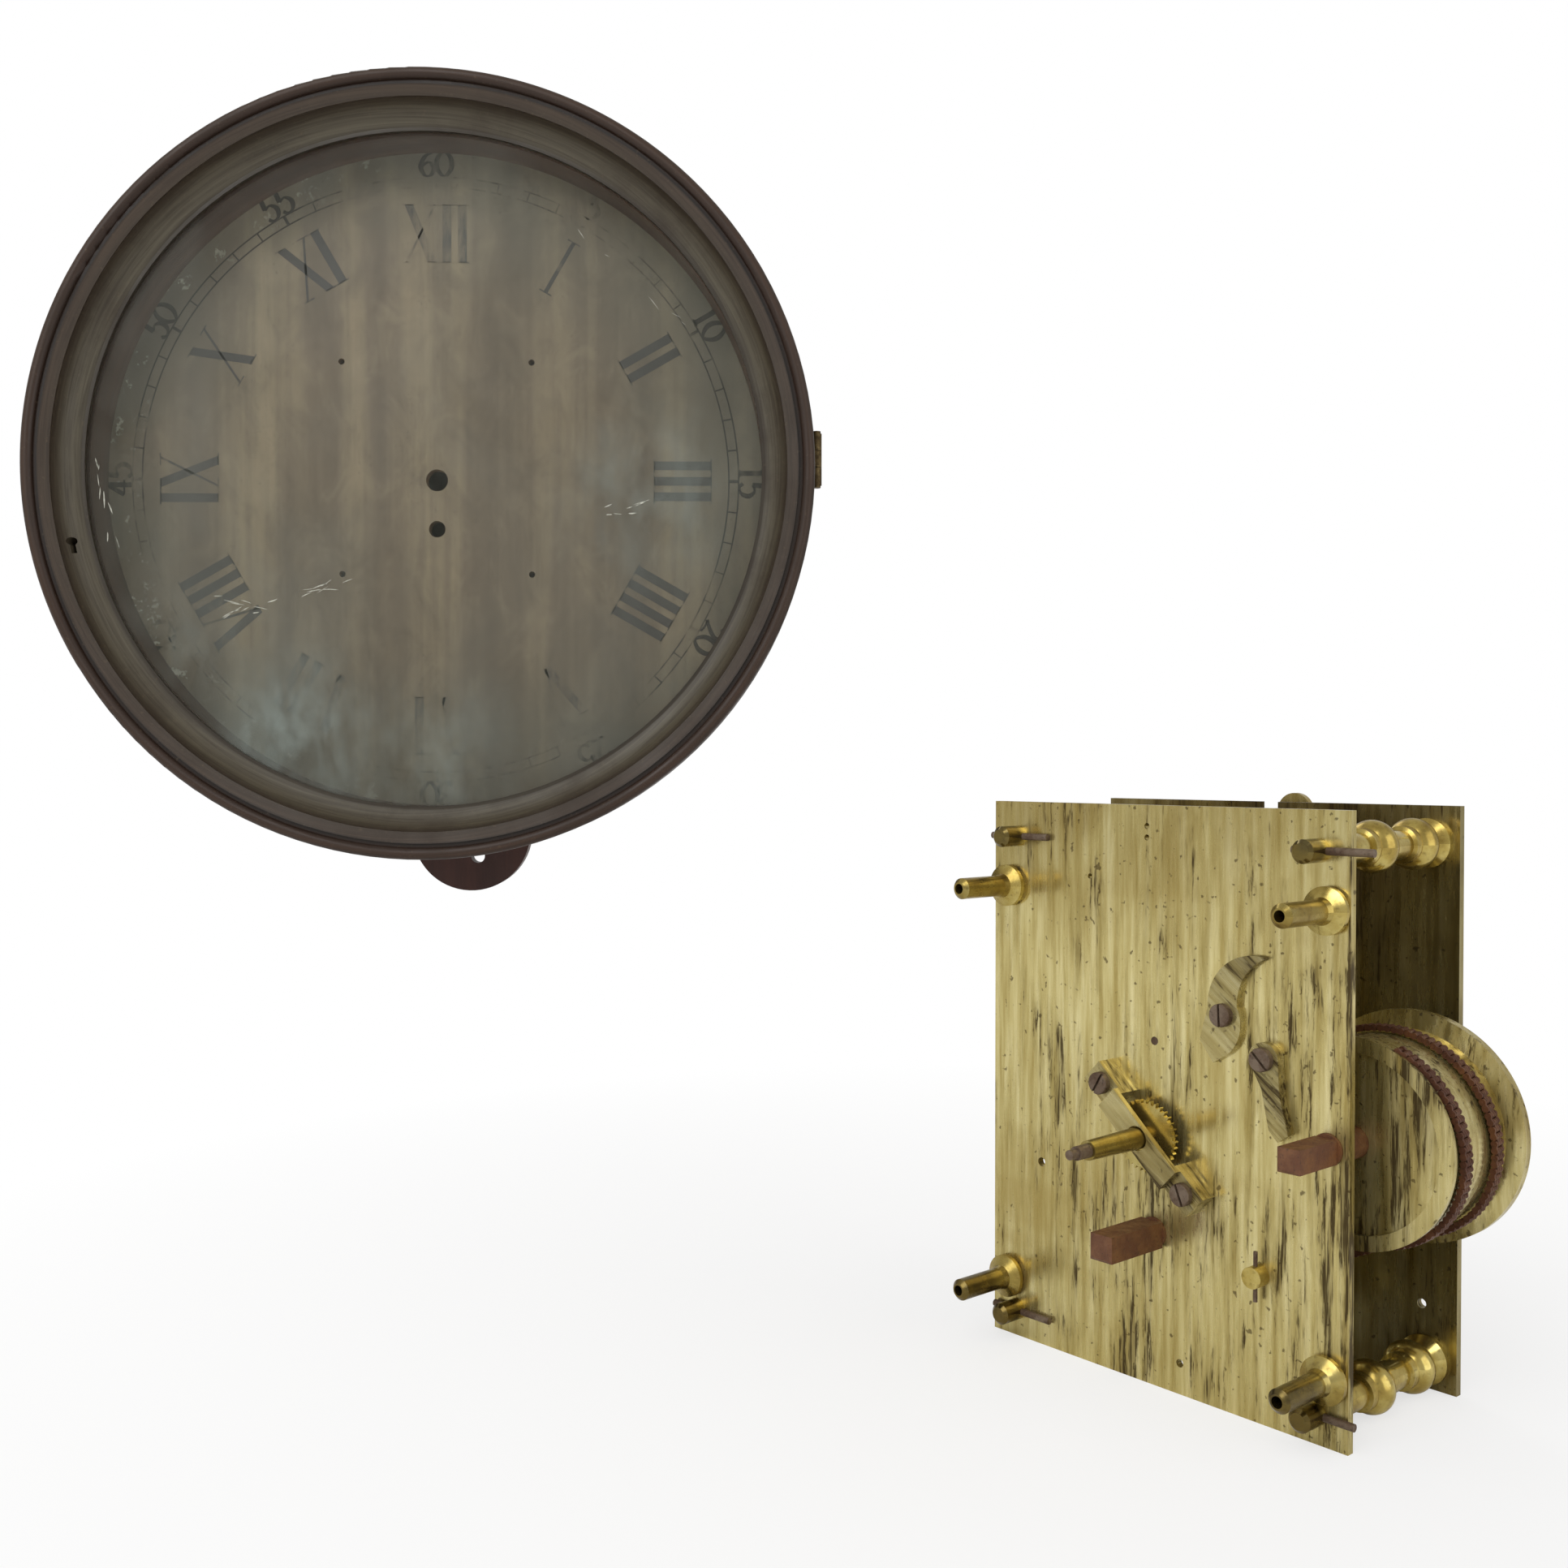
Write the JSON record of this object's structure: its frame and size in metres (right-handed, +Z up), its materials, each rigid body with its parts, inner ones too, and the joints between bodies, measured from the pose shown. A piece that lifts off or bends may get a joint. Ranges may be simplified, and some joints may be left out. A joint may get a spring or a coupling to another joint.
{
  "type": "dial wall clock",
  "caption": "Round wooden dial wall clock with glazed swinging ring, box behind with a side door, and its brass chain movement standing beside it.",
  "frame": {"origin": "where the dial's axis meets the wall face of the backboard", "axes": "+Z up, -Y out of the wall along the dial's axis, +X to the viewer's right"},
  "size_m": [0.6193, 0.6756, 0.574],
  "materials": {
    "case_wood": "worn dark brown polish",
    "chin_wood": "dark red-brown polish",
    "ring_wood": "old polish, olive brown",
    "hoop_wood": "pinkish brown, dull",
    "dial": "aged silvering, worn",
    "glass": "old glass with haze and scratches",
    "putty": "dark hard putty",
    "iron": "dull, tarnished",
    "rusty_steel": "browned by rust",
    "brass_plate": "satin, vertical tarnish streaks",
    "brass_turned": "polished",
    "chain_steel": "browned"
  },
  "bodies": {
    "case": {"backboard": "chin_wood", "box_left_side": "case_wood", "box_right_side": "case_wood", "box_top": "case_wood", "box_bottom": "case_wood", "box_battens": "hoop_wood", "box_pegs": "hoop_wood", "surround_hoop": "hoop_wood", "dial_board": "dial", "bezel_hinge_fixed_leaf": "brass_turned", "bezel_hinge_pin": "brass_turned", "lock_case": "iron", "hanging_plate": "iron", "hanging_screws": "iron", "side_hinge_fixed_leaves": "brass_turned", "side_hinge_pins": "brass_turned"},
    "front_door": {"bezel_door": "ring_wood", "dial_glass": "glass", "glazing_bead": "putty", "bezel_hinge_door_leaf": "brass_turned", "lock_staple": "iron"},
    "bolt": {"lock_bolt": "iron"},
    "box_door": {"side_door": "case_wood", "side_door_knob": "brass_turned", "side_hinge_door_leaves": "brass_turned"},
    "movement": {"front_plate": "brass_plate", "back_plate": "brass_plate", "pillars": "brass_turned", "pillar_pins": "rusty_steel", "dial_feet": "brass_turned", "motion_bridge": "brass_turned", "barrel_arbor": "rusty_steel", "click_spring": "rusty_steel", "front_plate_screws": "rusty_steel", "stop_post": "rusty_steel", "stop_pins": "rusty_steel", "verge_potence": "brass_plate", "lower_potence": "brass_plate", "back_cock": "brass_plate", "back_plate_screws": "rusty_steel", "chain_span": "chain_steel"},
    "centre": {"cannon_pipe": "brass_turned", "centre_arbor": "rusty_steel", "centre_wheel": "brass_turned"},
    "fusee": {"great_wheel": "brass_turned", "fusee": "brass_turned", "fusee_arbor": "rusty_steel"},
    "barrel": {"barrel_drum": "brass_turned", "barrel_cover": "brass_turned", "barrel_chain": "chain_steel"},
    "contrate": {"contrate_wheel": "brass_turned", "contrate_arbor": "rusty_steel"},
    "crown": {"crown_wheel": "brass_turned", "crown_arbor": "rusty_steel"},
    "verge": {"verge_staff": "rusty_steel"},
    "click": {"setup_click": "rusty_steel"},
    "stop": {"stop_iron": "rusty_steel"}
  },
  "joints": [
    {"name": "front_door_swing", "type": "hinge", "parent": "case", "child": "front_door", "pos_m": [0.225, -0.1542, 0.009], "axis": [0, 0, 1], "range_deg": [0, 110]},
    {"name": "lock_bolt_slide", "type": "slide", "parent": "case", "child": "bolt", "axis": [-0.2079, 0, 0.9781], "range_m": [0, 0.004]},
    {"name": "box_door_swing", "type": "hinge", "parent": "case", "child": "box_door", "pos_m": [0.1041, -0.022, 0.004], "axis": [0, 0, 1], "range_deg": [0, 100]},
    {"name": "movement_lift", "type": "slide", "parent": "case", "child": "movement", "axis": [0, 0, 1], "range_m": [0, 0.12]},
    {"name": "contrate_spin", "type": "hinge", "parent": "movement", "child": "contrate", "pos_m": [0.31954, -0.60241, -0.249], "axis": [-0.7771, -0.6293, 0], "continuous": true},
    {"name": "centre_spin", "type": "hinge", "parent": "movement", "child": "centre", "pos_m": [0.31954, -0.60241, -0.2765], "axis": [-0.7771, -0.6293, 0], "continuous": true},
    {"name": "fusee_spin", "type": "hinge", "parent": "movement", "child": "fusee", "pos_m": [0.31954, -0.60241, -0.3055], "axis": [-0.7771, -0.6293, 0], "continuous": true},
    {"name": "barrel_spin", "type": "hinge", "parent": "movement", "child": "barrel", "pos_m": [0.35491, -0.64609, -0.2705], "axis": [-0.7771, -0.6293, 0], "continuous": true},
    {"name": "crown_spin", "type": "hinge", "parent": "movement", "child": "crown", "pos_m": [0.33858, -0.587, -0.2165], "axis": [0, 0, 1], "continuous": true},
    {"name": "verge_rock", "type": "hinge", "parent": "movement", "child": "verge", "pos_m": [0.33897, -0.58668, -0.1829], "axis": [-0.7771, -0.6293, 0], "range_deg": [-20, 20]},
    {"name": "click_turn", "type": "hinge", "parent": "movement", "child": "click", "pos_m": [0.32817, -0.64484, -0.2485], "axis": [-0.7771, -0.6293, 0], "range_deg": [-4, 12]},
    {"name": "stop_turn", "type": "hinge", "parent": "movement", "child": "stop", "pos_m": [0.3316, -0.63859, -0.3094], "axis": [0, 0, 1], "range_deg": [-6, 3]}
  ],
  "couplings": [
    {"joint": "centre_spin", "follows": "contrate_spin", "ratio": -0.076923},
    {"joint": "fusee_spin", "follows": "contrate_spin", "ratio": 0.0064103},
    {"joint": "barrel_spin", "follows": "contrate_spin", "ratio": 0.00356},
    {"joint": "crown_spin", "follows": "contrate_spin", "ratio": -10}
  ]
}
